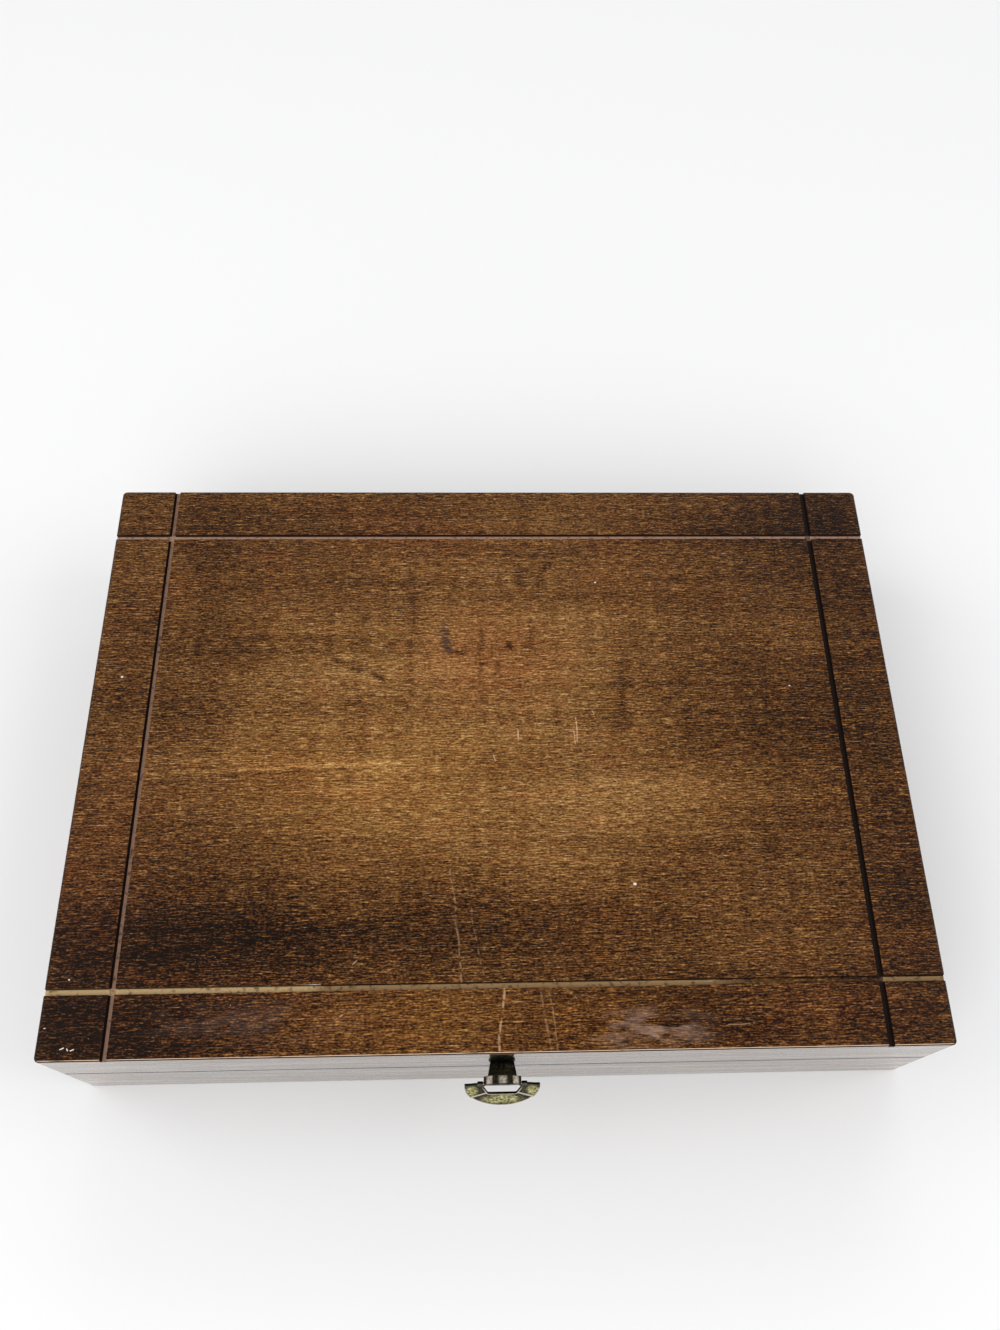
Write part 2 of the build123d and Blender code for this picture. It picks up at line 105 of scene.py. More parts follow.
class Graph:
    """Builds a node tree with short calls. Only blob, stroke and bump take lengths in millimetres."""

    def __init__(self, tree):
        self.tree = tree
        tree.nodes.clear()
        self.place = tree.nodes.new("ShaderNodeTexCoord").outputs["Object"]

    def node(self, kind, inputs=None, **settings):
        made = self.tree.nodes.new(kind)
        for key, value in settings.items():
            setattr(made, key, value)
        for key, value in (inputs or {}).items():
            if isinstance(value, bpy.types.NodeSocket):
                self.tree.links.new(value, made.inputs[key])
            else:
                made.inputs[key].default_value = value
        return made

    def math(self, operation, *values):
        return self.node("ShaderNodeMath", dict(enumerate(values)), operation=operation).outputs[0]

    def add(self, *values):
        total = values[0]
        for value in values[1:]:
            total = self.math("ADD", total, value)
        return total

    def mul(self, *values):
        total = values[0]
        for value in values[1:]:
            total = self.math("MULTIPLY", total, value)
        return total

    def sub(self, first, second):
        return self.math("SUBTRACT", first, second)

    def invert(self, value):
        return self.math("SUBTRACT", 1.0, value)

    def either(self, *values):
        total = values[0]
        for value in values[1:]:
            total = self.math("MAXIMUM", total, value)
        return total

    def held(self, value):
        """Keeps a value between 0 and 1. A clamp would do the same, but many of them overfill a shader."""
        return self.math("MINIMUM", self.math("MAXIMUM", value, 0.0), 1.0)

    def vector(self, operation, first, second=None, scale=None):
        inputs = {0: first}
        if second is not None:
            inputs[1] = second
        if scale is not None:
            inputs["Scale"] = scale
        made = self.node("ShaderNodeVectorMath", inputs, operation=operation)
        return made.outputs["Value" if operation in ("LENGTH", "DISTANCE", "DOT_PRODUCT") else "Vector"]

    def span(self, value, low, high, to_low=0.0, to_high=1.0, smooth=True):
        """Maps low..high to to_low..to_high, held at the ends."""
        inputs = {"Value": value, "From Min": low, "From Max": high, "To Min": to_low, "To Max": to_high}
        kind = "SMOOTHSTEP" if smooth else "LINEAR"
        return self.node("ShaderNodeMapRange", inputs, interpolation_type=kind, clamp=True).outputs[0]

    def mapped(self, scale, turn=(0, 0, 0), offset=(0, 0, 0)):
        """The piece's own coordinates, first scaled to repeats per metre, then turned, then shifted."""
        inputs = {"Vector": self.place, "Location": offset, "Rotation": turn, "Scale": scale}
        return self.node("ShaderNodeMapping", inputs, vector_type="POINT").outputs[0]

    def noise(self, vector, detail=2.0, roughness=0.5, distortion=0.0):
        inputs = {
            "Vector": vector, "Scale": 1.0, "Detail": detail,
            "Roughness": roughness, "Distortion": distortion,
        }
        return self.node("ShaderNodeTexNoise", inputs, noise_dimensions="3D").outputs[0]

    def cells(self, vector):
        """How far the nearest of a field of scattered points lies."""
        inputs = {"Vector": vector, "Scale": 1.0}
        return self.node("ShaderNodeTexVoronoi", inputs).outputs["Distance"]

    def axes(self, vector=None):
        """The x, y and z of a vector, as three sockets."""
        return self.node("ShaderNodeSeparateXYZ", {0: vector or self.place}).outputs[:3]

    def flat(self):
        """The place in plan: x, y and nought."""
        return self.vector("MULTIPLY", self.place, (1, 1, 0))

    def blob(self, plan, centre, size):
        """A soft ellipse in plan, 1 at its centre and 0 outside."""
        share = [1 / (value * MM) for value in size]
        shift = [-value * MM * part for value, part in zip(centre, share)]
        inputs = {0: plan, 1: (*share, 0), 2: (*shift, 0)}
        reach = self.node("ShaderNodeVectorMath", inputs, operation="MULTIPLY_ADD").outputs["Vector"]
        left = self.held(self.sub(1.0, self.vector("DOT_PRODUCT", reach, reach)))
        return self.mul(left, left)

    def stroke(self, plan, start, end, width, soft=0.5):
        """A line in plan from start to end, 1 along its middle and 0 outside its width."""
        run = Vector((end[0] - start[0], end[1] - start[1], 0)) * MM
        away = self.vector("SUBTRACT", plan, (start[0] * MM, start[1] * MM, 0))
        share = self.held(self.vector("DOT_PRODUCT", away, run / run.length_squared))
        distance = self.vector("DISTANCE", away, self.vector("SCALE", tuple(run), scale=share))
        reach = width / 2 * (1 + soft) * MM
        fall = width * soft * MM
        return self.held(self.math("MULTIPLY_ADD", distance, -1 / fall, reach / fall))

    def ramp(self, value, stops):
        made = self.node("ShaderNodeValToRGB", {"Fac": value})
        elements = made.color_ramp.elements
        while len(elements) < len(stops):
            elements.new(1.0)
        for element, (position, colour) in zip(elements, stops):
            element.position = position
            element.color = colour
        return made.outputs["Color"]

    def mix(self, factor, first, second, blend="MIX"):
        inputs = {0: factor, 6: first, 7: second}
        made = self.node("ShaderNodeMix", inputs, data_type="RGBA", blend_type=blend)
        return made.outputs[2]

    def bump(self, height, distance, strength):
        inputs = {"Height": height, "Distance": distance * MM, "Strength": strength}
        return self.node("ShaderNodeBump", inputs).outputs[0]

    def surface(self, **sockets):
        """The surface shader; socket names are written with underscores."""
        inputs = {name.replace("_", " "): value for name, value in sockets.items()}
        shader = self.node("ShaderNodeBsdfPrincipled", inputs)
        output = self.node("ShaderNodeOutputMaterial")
        self.tree.links.new(shader.outputs[0], output.inputs["Surface"])


def new_material(name):
    """A new material and the graph that fills it."""
    material = bpy.data.materials.new(name)
    material.use_nodes = True
    return material, Graph(material.node_tree)


def paint(names, material):
    """Gives CAD nodes a material."""
    for name in names:
        mesh = frame["nodes"][name].data
        mesh.materials.clear()
        mesh.materials.append(material)


# ---------------------------------------------------------------- walnut veneer
# a turn follows the scaling, so the pattern stays stretched along x after either of these
LONG_BOARD_TURN = (0, 0, 0)
SHORT_BOARD_TURN = (0, 0, math.radians(90))

# a tone is close to the red channel of the colour on the screen, from 0 to 1
WALNUT_TONES = [
    (0.08, linear(17, 7, 2)),
    (0.18, linear(45, 22, 8)),
    (0.31, linear(80, 49, 20)),
    (0.39, linear(101, 66, 32)),
    (0.47, linear(122, 84, 44)),
    (0.56, linear(146, 106, 59)),
    (0.68, linear(177, 137, 86)),
    (0.84, linear(214, 178, 128)),
]
TOP_VARNISH = {"IOR": 1.2, "Coat_Weight": 0.4, "Coat_IOR": 1.2, "Coat_Roughness": 0.12}
SIDE_VARNISH = {"IOR": 1.36, "Coat_Weight": 1.0, "Coat_IOR": 1.36, "Coat_Roughness": 0.16}


def walnut_grain(graph, turn):
    """The veneer's pattern and its finest grain as tones around nought, then its relief and its flecks."""
    flecks = graph.noise(graph.mapped((220, 1900, 1900), turn), detail=2.0, roughness=0.6, distortion=0.3)
    fine = graph.noise(graph.mapped((740, 1300, 1300), turn), detail=1.5, roughness=0.6)
    threads = graph.noise(graph.mapped((90, 1150, 1150), turn, (3, 7, 5)), detail=1.0)
    streaks = graph.noise(graph.mapped((9, 260, 260), turn), detail=3.0, roughness=0.65, distortion=0.2)
    bands = graph.noise(graph.mapped((3.5, 36, 36), turn, (5, 1, 2)), detail=2.0, distortion=0.5)
    dark_pore = graph.span(threads, 0.42, 0.30)
    tone = graph.add(
        graph.mul(graph.span(flecks, 0.47, 0.66, smooth=False), 0.145),
        graph.mul(graph.span(flecks, 0.47, 0.32, smooth=False), -0.065),
        graph.mul(graph.span(threads, 0.56, 0.70), 0.075),
        graph.mul(dark_pore, -0.06),
        graph.mul(graph.sub(streaks, 0.5), 0.15),
        graph.mul(graph.sub(bands, 0.5), 0.12),
        -0.031,
    )
    relief = graph.sub(graph.add(graph.mul(flecks, 0.5), graph.mul(fine, 0.3)), graph.mul(dark_pore, 0.4))
    return tone, graph.sub(fine, 0.5), relief, flecks


# the top's light and dark fields in plan: centre, half sizes, change of tone
TOP_FIELDS = [
    ((-30, 5), (190, 120), 0.185),
    ((20, 70), (130, 70), 0.05),
    ((60, -30), (90, 30), 0.08),
    ((-60, 5), (80, 40), -0.03),
    ((-150, -100), (110, 52), -0.16),
    ((-160, -136), (70, 26), -0.18),
    ((-30, -88), (150, 34), -0.075),
    ((-42, -131), (62, 26), 0.05),
    ((90, -133), (52, 16), -0.11),
    ((120, -85), (60, 40), 0.045),
    ((-175, 95), (50, 80), 0.015),
    ((20, 128), (80, 28), 0.08),
    ((155, 120), (70, 45), -0.095),
    ((135, 10), (70, 22), -0.06),
    ((-150, 118), (30, 40), -0.06),
    ((-178, 30), (40, 60), -0.05),
    ((-30, 14), (110, 24), -0.04),
    ((-85, -102), (50, 16), -0.05),
    ((-140, 40), (40, 50), -0.04),
    ((-110, 70), (40, 25), 0.035),
    ((30, -60), (60, 22), 0.085),
    ((-40, -50), (60, 24), 0.055),
    ((150, 60), (50, 40), 0.045),
    ((186, -70), (24, 90), -0.04),
    ((-50, -18), (52, 22), 0.085),
    ((-150, 10), (28, 22), -0.08),
    ((50, 12), (28, 15), -0.07),
    ((-185, -128), (24, 26), -0.08),
    ((-108, -130), (34, 18), -0.07),
    ((160, -130), (20, 16), -0.06),
]
TOP_TONE = 0.305
# from where to where along x, in metres, the top darkens to the right as painted shade, and by how much
TOP_RIGHT_SHADE = (0.145, 0.190, -0.065)

# soft marks in the finish: start, end, width, change of tone
TOP_STAINS = [
    ((-42, 80), (-42.5, 26), 3.2, -0.07),
    ((-7.5, 60), (-7.8, 31), 2.2, -0.10),
    ((18, 67), (17.7, 50), 2.2, -0.10),
    ((-23.5, 48), (-16.5, 46.5), 3.0, -0.10),
    ((-22, 47), (24, 53), 2.4, -0.06),
    ((6, 55), (8, 48), 2.4, -0.10),
    ((0.4, 41), (0.4, 36.5), 2.4, -0.11),
    ((12, 97), (14, 86), 3.5, -0.09),
    ((27, 99), (22, 86), 3.0, -0.10),
    ((18, 104), (30, 106), 3.0, -0.05),
    ((62, 42), (62, 8), 7.0, -0.05),
    ((92, 34), (92, -4), 9.0, -0.05),
    ((120, 58), (121, 22), 6.0, -0.04),
    ((-64, 14), (-64, -12), 5.0, -0.04),
    ((-80, 43), (-75, 41.5), 2.6, -0.17),
    ((-72, 40.5), (-68, 38.5), 2.6, -0.13),
    ((-61, 36), (-56, 33), 2.4, -0.13),
    ((-86, 44), (-66, 46), 3.0, 0.08),
    ((-84, 38.5), (-62, 34.5), 2.6, 0.07),
    ((-192, -105), (-110, -95), 2.6, -0.06),
    ((-110, -95), (0, -79), 2.2, -0.06),
    ((-155, -92), (-88, -84), 2.0, -0.05),
    ((-173, -16.5), (-46.6, -11.2), 1.8, 0.11),
    ((-130, -17.6), (-60, -14.2), 1.4, -0.09),
    ((-150, -30), (-60, -24), 2.0, 0.04),
]

# pale scratches through the varnish: start, end, width, strength
TOP_SCRATCHES = [
    ((0.8, -116.5), (-1.3, -143.6), 0.9, 0.50),
    ((-23, -60), (-17.2, -115), 0.8, 0.24),
    ((-15, -74), (-8, -112), 0.6, 0.14),
    ((16.0, -116), (20.6, -143.8), 0.8, 0.20),
    ((20.6, -119), (23.2, -143.8), 0.6, 0.20),
    ((23.4, -114.5), (33.1, -122.4), 0.7, 0.43),
    ((38.1, 11.1), (38.5, -1.6), 0.5, 0.80),
    ((36.6, 5.0), (37.6, -2.5), 0.45, 0.58),
    ((10.0, 5.5), (10.4, -0.3), 0.5, 0.85),
    ((-2.2, -6.4), (-1.2, -10.8), 0.5, 0.85),
    ((54.8, -20.3), (57.9, -23.4), 0.5, 0.65),
    ((46.5, 16.5), (47.5, 13.0), 0.45, 0.58),
    ((-66.5, -108), (-63.3, -104.9), 0.45, 0.50),
    ((-70, -128.5), (-67, -125), 0.5, 0.65),
    ((96, -132.5), (112, -131.5), 0.5, 0.26),
    ((98, -135), (110, -134), 0.5, 0.36),
    ((118, -76), (122, -74), 0.5, 0.58),
]

# flecks of white paint, and a painted glint of three short strokes near the front-left corner: start, end,
# width
TOP_PAINT_AND_GLINT = [
    ((61.4, -72.0), (61.9, -72.0), 1.0),
    ((-183.6, 34.9), (-183.2, 34.9), 0.8),
    ((-187.2, -111.0), (-187.0, -111.0), 0.6),
    ((-194.6, -131.2), (-194.0, -131.1), 0.30),
    # these three short strokes are a painted glint, not paint
    ((-186.6, -139.9), (-185.2, -139.3), 0.38),
    ((-183.8, -139.7), (-183.3, -140.4), 0.38),
    ((-182.2, -140.5), (-180.9, -140.0), 0.38),
    ((-91.5, -115.3), (-79.0, -114.9), 0.6),
    ((83.0, -115.7), (93.0, -115.7), 0.5),
    ((52.0, 88.0), (52.3, 88.0), 0.7),
    ((146.0, 28.0), (146.3, 28.0), 0.6),
]

# where the top is redder or more golden, and where a painted reflection in the varnish pales it: centre,
# half sizes, strength
TOP_RED_AREAS = [
    ((-4, 46), (56, 50), 1.2),
    ((-185, -70), (50, 90), 1.0),
    ((150, -130), (70, 30), 1.0),
    ((-120, -125), (90, 30), 1.0),
]
TOP_GOLD_AREAS = [
    ((-36, -131), (62, 26), 1.0),
    ((-60, -20), (110, 50), 0.6),
    ((50, -134), (110, 24), 1.0),
]
# painted reflections in the varnish along the front: a bright one to the right and a faint one to the left
TOP_PAINTED_REFLECTION_AREAS = [
    ((64, -136), (36, 12), 1.0),
    ((-112, -130), (60, 13), 0.18),
]
TOP_DUST_AREA = ((-120, -110), (90, 45))
RED_TINT = (1.12, 0.80, 0.80)
GOLD_TINT = (1.12, 0.98, 0.62)
WARM_TINT = (1.12, 0.90, 0.82)
COOL_TINT = (0.94, 1.03, 0.92)

# the slate-coloured smudge: start, end and width, and where it fades from foot to head
SLATE_MARK = ((-25.8, 63), (-24.6, 49), 4.4)
SLATE_FADE = (66, 50)
SLATE = linear(52, 38, 38)
# the pale pinkish colour of the painted reflection
PAINTED_REFLECTION_COLOUR = linear(176, 142, 122)
BARE_WOOD = linear(206, 168, 128)
# the white of the paint flecks and of the painted glint
WHITE_PAINT_AND_GLINT = linear(232, 224, 212)
DUST_COLOUR = linear(200, 178, 150)
RUBBED_EDGE = linear(222, 190, 160)
DARK_EDGE = linear(40, 22, 14)
# how many specks of dust there may be in a metre, which of them show, and their largest radius in cells
DUST_CELLS = (120, 130, 0)
DUST_SHOWN = 0.90
DUST_RADIUS = 0.034
LINE_WAVER = 3.0
ARRIS = 0.75

KERF_INSET = 28.8
KERF_HALF = 1.4
KERF_DEPTH = 1.9
# painted shade on the kerfs' walls and on their bottoms next to the walls; also the colour of the dirt in
# them
KERF_SHADE_AND_DIRT = linear(26, 15, 11)
KERF_FRONT = linear(206, 174, 126)
KERF_FRONT_MIDDLE = linear(164, 132, 92)
KERF_LEFT = linear(150, 116, 96)
KERF_RIGHT = linear(34, 24, 20)
KERF_BACK = linear(186, 148, 126)
# along the front kerf: where it turns browner, where dirt starts, where the dirt is full, where it ends
KERF_CHANGES = (-80, 83, 124, 170)


def front_kerf_colour(graph, x, from_line, colour):
    """The front kerf's bottom: pale core, browner from the middle on, with a stretch clogged by dirt."""
    brown_from, clean_to, clog_from, clog_to = [place * MM for place in KERF_CHANGES]
    past_clean = graph.math("GREATER_THAN", x, clean_to)
    clogged = graph.mul(graph.span(x, clean_to, clog_from, 0.2, 1.0), past_clean)
    clogged = graph.mul(clogged, graph.span(x, clog_to - 3 * MM, clog_to, 1.0, 0.2))
    pale_half = graph.span(x, brown_from - 6 * MM, brown_from + 4 * MM, 1.25 * MM, 0.95 * MM)
    pale_half = graph.sub(pale_half, graph.mul(clogged, 0.6 * MM))
    pale = graph.span(graph.sub(from_line, pale_half), 0.0, 0.25 * MM, 1.0, 0.0)
    browner = graph.span(x, brown_from - 4 * MM, brown_from + 2 * MM)
    front = graph.mix(browner, KERF_FRONT, KERF_FRONT_MIDDLE)
    return graph.mix(graph.mul(pale, graph.span(clogged, 0.0, 1.0, 1.0, 0.12)), colour, front)


def kerf_colour(graph, x, y, depth, colour):
    """The four saw kerfs: walls painted dark as shade, painted shade and dirt along them, and the paler
    core at their bottoms.
    """
    rough = graph.noise(graph.mapped((420, 420, 420)), detail=2.0)
    side_offset = graph.sub(graph.math("ABSOLUTE", x), HALF_WIDTH - KERF_INSET * MM)
    end_offset = graph.sub(graph.math("ABSOLUTE", y), HALF_DEPTH - KERF_INSET * MM)
    from_side_line = graph.math("ABSOLUTE", side_offset)
    from_end_line = graph.math("ABSOLUTE", end_offset)
    in_side = graph.span(from_side_line, KERF_HALF * MM, (KERF_HALF + 0.2) * MM, 1.0, 0.0)
    in_end = graph.span(from_end_line, KERF_HALF * MM, (KERF_HALF + 0.2) * MM, 1.0, 0.0)
    front = front_kerf_colour(graph, x, from_end_line, colour)
    ends = graph.mix(graph.math("GREATER_THAN", y, 0.0), front, KERF_BACK)
    sides = graph.mix(graph.math("GREATER_THAN", x, 0.0), KERF_LEFT, KERF_RIGHT)
    bottom = graph.mix(in_end, sides, ends)
    bottom = graph.mix(graph.mul(in_side, in_end, 0.75), bottom, sides)
    # painted shade on the bottom of each side kerf, along its outer wall
    outer_wall_shade = graph.mul(graph.span(side_offset, 0.5 * MM, 0.8 * MM), graph.invert(in_end))
    # painted shade on the bottoms of the front and back kerfs, along both walls
    end_wall_shade = graph.span(from_end_line, (KERF_HALF - 0.45) * MM, (KERF_HALF - 0.1) * MM, 0.0, 0.8)
    end_wall_shade = graph.mul(end_wall_shade, graph.invert(in_side))
    # the kerf bottoms darkened by that painted shade and by dirt
    darkening = graph.either(outer_wall_shade, end_wall_shade, graph.span(rough, 0.50, 0.72, 0.0, 0.6))
    bottom = graph.mix(darkening, bottom, KERF_SHADE_AND_DIRT)
    inside = graph.mul(
        graph.span(graph.sub(HALF_WIDTH, graph.math("ABSOLUTE", x)), 0.0, 0.05 * MM),
        graph.span(graph.sub(HALF_DEPTH, graph.math("ABSOLUTE", y)), 0.0, 0.05 * MM),
    )
    # the kerfs' walls, painted dark as shade
    in_cut = graph.mul(inside, graph.span(depth, 0.10 * MM, 0.22 * MM))
    at_bottom = graph.mul(inside, graph.span(depth, (KERF_DEPTH - 0.35) * MM, (KERF_DEPTH - 0.1) * MM))
    colour = graph.mix(in_cut, colour, KERF_SHADE_AND_DIRT)
    return graph.mix(at_bottom, colour, bottom), in_cut


def tinted(graph, colour, amount, tint):
    """A colour with a share of a tint multiplied in."""
    return graph.mix(amount, colour, graph.mix(1.0, colour, (*tint, 1), "MULTIPLY"))


def areas(graph, plan, places):
    """Soft ellipses in plan as one mask."""
    mask = 0.0
    for centre, size, strength in places:
        mask = graph.either(mask, graph.mul(graph.blob(plan, centre, size), strength))
    return mask


def wavering(graph, plan):
    """The plan, shifted a little from place to place, so that lines drawn in it aren't ruled."""
    drift_x = graph.noise(graph.mapped((70, 70, 0), offset=(0, 0, 2)), detail=1.0)
    drift_y = graph.noise(graph.mapped((70, 70, 0), offset=(0, 0, 11)), detail=1.0)
    inputs = {0: graph.sub(drift_x, 0.5), 1: graph.sub(drift_y, 0.5)}
    drift = graph.node("ShaderNodeCombineXYZ", inputs).outputs[0]
    return graph.vector("ADD", plan, graph.vector("SCALE", drift, scale=LINE_WAVER * MM))


def top_tone(graph, x, plan, drawn, cloud, grain, fine):
    """How light the top is: its broad fields, its stains and its grain."""
    cross = graph.noise(graph.mapped((95, 16, 16)), detail=2.0)
    tone = graph.add(
        TOP_TONE,
        graph.mul(graph.sub(cloud, 0.5), 0.14),
        graph.mul(graph.sub(cross, 0.5), 0.10),
        # painted shade darkening the top's right end
        graph.span(x, TOP_RIGHT_SHADE[0], TOP_RIGHT_SHADE[1], 0.0, TOP_RIGHT_SHADE[2]),
    )
    for centre, size, amount in TOP_FIELDS:
        tone = graph.add(tone, graph.mul(graph.blob(plan, centre, size), amount))
    for start, end, width, amount in TOP_STAINS:
        tone = graph.add(tone, graph.mul(graph.stroke(drawn, start, end, width, 0.8), amount))
    # the grain stands out more where the ground is dark
    grain = graph.mul(grain, graph.span(tone, 0.1, 0.5, 1.75, 1.4, smooth=False))
    fine = graph.mul(fine, graph.span(tone, 0.1, 0.5, 0.9, 0.62, smooth=False))
    return graph.add(tone, grain, fine)


def top_colour(graph, tone, plan, cloud):
    """The walnut's brown, redder, more golden, warmer or cooler from place to place."""
    hue = graph.noise(graph.mapped((70, 420, 420), offset=(4, 1, 9)), detail=2.0, roughness=0.7)
    colour = graph.ramp(tone, WALNUT_TONES)
    reddish = graph.either(areas(graph, plan, TOP_RED_AREAS), graph.span(cloud, 0.50, 0.75))
    colour = tinted(graph, colour, graph.mul(reddish, 0.35), RED_TINT)
    colour = tinted(graph, colour, graph.mul(areas(graph, plan, TOP_GOLD_AREAS), 0.55), GOLD_TINT)
    colour = tinted(graph, colour, graph.span(hue, 0.50, 0.68, 0.0, 0.45), WARM_TINT)
    return tinted(graph, colour, graph.span(hue, 0.50, 0.32, 0.0, 0.45), COOL_TINT)


def slate_smudge(graph, drawn, y, flecks):
    """Where the slate-coloured smudge lies, broken by the grain."""
    start, end, width = SLATE_MARK
    smudge = graph.stroke(drawn, start, end, width, 0.7)
    smudge = graph.mul(smudge, graph.span(y, SLATE_FADE[0] * MM, SLATE_FADE[1] * MM, 0.5, 1.0))
    return graph.mul(smudge, graph.span(flecks, 0.40, 0.62, 1.0, 0.55))


def scratched(graph, colour, plan, drawn):
    """Pale scratches, flecks of white paint and a painted glint over a colour."""
    broken = graph.span(graph.noise(graph.mapped((420, 420, 420)), detail=2.0), 0.38, 0.56)
    scratches = 0.0
    for start, end, width, strength in TOP_SCRATCHES:
        line = graph.mul(graph.stroke(drawn, start, end, width), strength)
        scratches = graph.either(scratches, line)
    colour = graph.mix(graph.mul(scratches, broken), colour, BARE_WOOD)
    paint_and_glint = 0.0
    # white paint flecks, and the painted glint at the front-left corner
    for start, end, width in TOP_PAINT_AND_GLINT:
        paint_and_glint = graph.either(paint_and_glint, graph.stroke(plan, start, end, width))
    paint_and_glint = graph.mul(paint_and_glint, graph.span(broken, 0.0, 0.5, 0.4, 1.0))
    return graph.mix(paint_and_glint, colour, WHITE_PAINT_AND_GLINT)


def dusted(graph, colour, plan, cloud):
    """Sparse specks of pale dust over a colour."""
    inputs = {"Vector": graph.mapped(DUST_CELLS), "Scale": 1.0}
    specks = graph.node("ShaderNodeTexVoronoi", inputs, voronoi_dimensions="2D")
    chance = graph.node("ShaderNodeSeparateColor", {0: specks.outputs["Color"]}).outputs[0]
    radius = graph.span(chance, DUST_SHOWN, 1.0, 0.0, DUST_RADIUS, smooth=False)
    dust = graph.math("LESS_THAN", specks.outputs["Distance"], radius)
    dusty = graph.either(graph.span(cloud, 0.50, 0.62), graph.blob(plan, *TOP_DUST_AREA))
    return graph.mix(graph.mul(dust, dusty, 0.7), colour, DUST_COLOUR)


def on_arris(graph, half, place):
    """1 on the broken edge of a side that lies half a size from the middle, 0 further in."""
    inward = graph.sub(half, graph.math("ABSOLUTE", place))
    return graph.span(inward, ARRIS * 0.85 * MM, ARRIS * MM, 1.0, 0.0)


def worn_edges(graph, colour, x, y, depth):
    """The front edge rubbed pale here and there, the other edges dark."""
    at_end = on_arris(graph, HALF_DEPTH, y)
    wear = graph.noise(graph.mapped((55, 200, 200)), detail=3.0, roughness=0.7)
    rubbed = graph.mul(at_end, graph.span(depth, 0.0, 1.3 * MM, 1.0, 0.0))
    rubbed = graph.mul(rubbed, graph.span(wear, 0.32, 0.50, 0.35, 0.95), graph.math("LESS_THAN", y, 0.0))
    colour = graph.mix(rubbed, colour, RUBBED_EDGE)
    at_back = graph.mul(at_end, graph.math("GREATER_THAN", y, 0.0))
    others = graph.either(on_arris(graph, HALF_WIDTH, x), at_back)
    return graph.mix(graph.mul(others, 0.75), colour, DARK_EDGE)


def top_veneer():
    """The lid's top: one face of walnut, worn, stained and scratched, with its kerfs."""
    material, graph = new_material("walnut_top")
    x, y, z = graph.axes()
    plan = graph.flat()
    depth = graph.sub(CASE_TOP, z)
    grain, fine, relief, flecks = walnut_grain(graph, LONG_BOARD_TURN)
    cloud = graph.noise(graph.mapped((9, 14, 14)), detail=3.0, roughness=0.6)
    drawn = wavering(graph, plan)
    tone = top_tone(graph, x, plan, drawn, cloud, grain, fine)
    colour = top_colour(graph, tone, plan, cloud)
    colour = graph.mix(slate_smudge(graph, drawn, y, flecks), colour, SLATE)
    # a painted reflection in the varnish, broken by haze and by the grain; the varnish is also less rough
    # there
    haze = graph.noise(graph.mapped((60, 170, 170), offset=(2, 6, 1)), detail=2.0)
    painted_reflection = graph.mul(areas(graph, plan, TOP_PAINTED_REFLECTION_AREAS), graph.span(haze, 0.42, 0.62))
    reflection_share = graph.mul(painted_reflection, graph.span(flecks, 0.3, 0.6, 0.20, 0.55))
    colour = graph.mix(reflection_share, colour, PAINTED_REFLECTION_COLOUR)
    colour = scratched(graph, colour, plan, drawn)
    colour = dusted(graph, colour, plan, cloud)
    colour = worn_edges(graph, colour, x, y, depth)
    colour, in_cut = kerf_colour(graph, x, y, depth, colour)
    roughness = graph.add(graph.span(flecks, 0.3, 0.7, 0.36, 0.50), graph.mul(in_cut, 0.4))
    roughness = graph.sub(roughness, graph.mul(painted_reflection, 0.12))
    normal = graph.bump(relief, 0.05, 0.5)
    graph.surface(Base_Color=colour, Roughness=roughness, Normal=normal, **TOP_VARNISH)
    return material


# half sizes of the painted shade on the wood round the drop pull
PULL_SHADE_HALF_SIZES = (7.5, 5.0, 16.0)
SEAM_DIRT = linear(24, 16, 11)
# near black, the painted shade round the drop pull
PULL_SHADE = linear(16, 12, 9)
WEATHERED = linear(98, 98, 84)
WEATHERED_SHARE = 0.30
SCUFFED_FOOT = linear(132, 98, 66)
RAIL_TONE = 0.33


def seam_dirt(graph, x, y, z, flecks):
    """The dirty edges along the seam, on the outer faces only."""
    from_seam = graph.math("ABSOLUTE", graph.sub(z, SEAM_Z))
    from_side = graph.sub(HALF_WIDTH, graph.math("ABSOLUTE", x))
    from_end = graph.sub(HALF_DEPTH, graph.math("ABSOLUTE", y))
    outside = graph.span(graph.math("MINIMUM", from_side, from_end), 0.7 * MM, 1.1 * MM, 1.0, 0.0)
    near_seam = graph.span(from_seam, 0.8 * MM, 1.7 * MM, 1.0, 0.0)
    return graph.mul(outside, near_seam, graph.span(flecks, 0.4, 0.6, 0.7, 1.0))


def pull_shade(graph, cloud):
    """The painted shade on the wood behind and round the drop pull."""
    share = [1 / (size * MM) for size in PULL_SHADE_HALF_SIZES]
    shift = (0.0, -FRONT_Y * share[1], -PULL_Z * share[2])
    inputs = {0: graph.place, 1: share, 2: shift}
    from_pull = graph.node("ShaderNodeVectorMath", inputs, operation="MULTIPLY_ADD").outputs[0]
    painted_shade = graph.span(graph.vector("LENGTH", from_pull), 0.75, 1.05, 1.0, 0.0)
    return graph.mul(painted_shade, graph.span(cloud, 0.35, 0.5, 0.7, 1.0))


